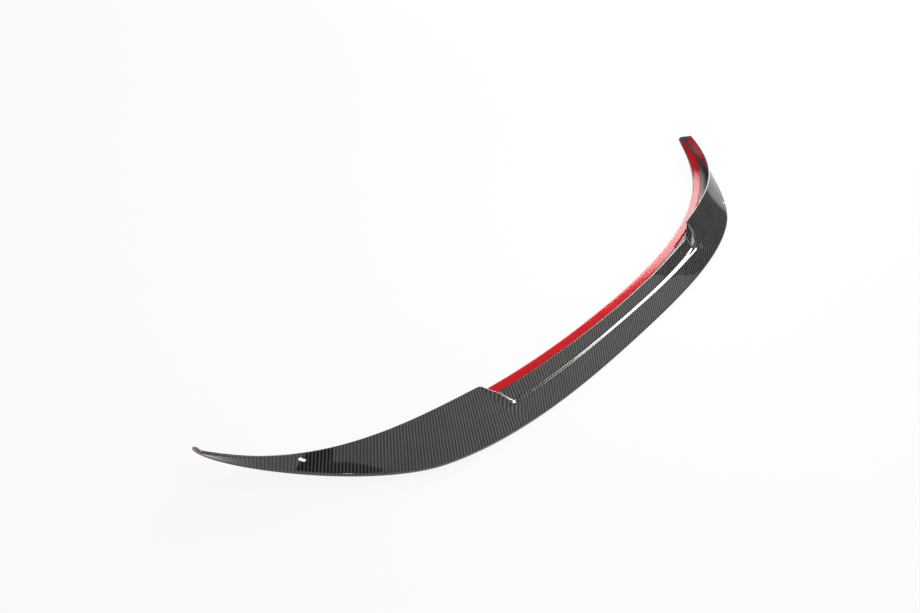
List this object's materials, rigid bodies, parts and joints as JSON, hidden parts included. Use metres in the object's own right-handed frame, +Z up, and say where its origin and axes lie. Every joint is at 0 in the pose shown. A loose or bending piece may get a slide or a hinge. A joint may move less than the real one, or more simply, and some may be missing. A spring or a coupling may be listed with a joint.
{
  "type": "car rear spoiler",
  "caption": "Thin wedge-section crescent spoiler for a boot lid's rear edge, hollow at the front, with raised ears, a recessed middle and adhesive tapes inside.",
  "frame": {"origin": "centre of the part's box, on the ground that its lower wall rests on", "axes": "+X along the span, +Y towards the front of the car and the hollow side, +Z up"},
  "size_m": [1.212, 0.2394, 0.0358],
  "materials": {
    "carbon": "dark twill carbon-fibre laminate under a glossy clear coat",
    "foam": "dark grey acrylic foam tape, matt",
    "liner": "smooth red release film on the tapes"
  },
  "bodies": {
    "root": {"carbon_shell": "carbon", "lower_tape": "foam", "lower_liner": "liner", "left_ear_tape": "foam", "left_ear_liner": "liner", "right_ear_tape": "foam", "right_ear_liner": "liner", "recess_tape": "foam", "recess_liner": "liner"}
  },
  "joints": []
}
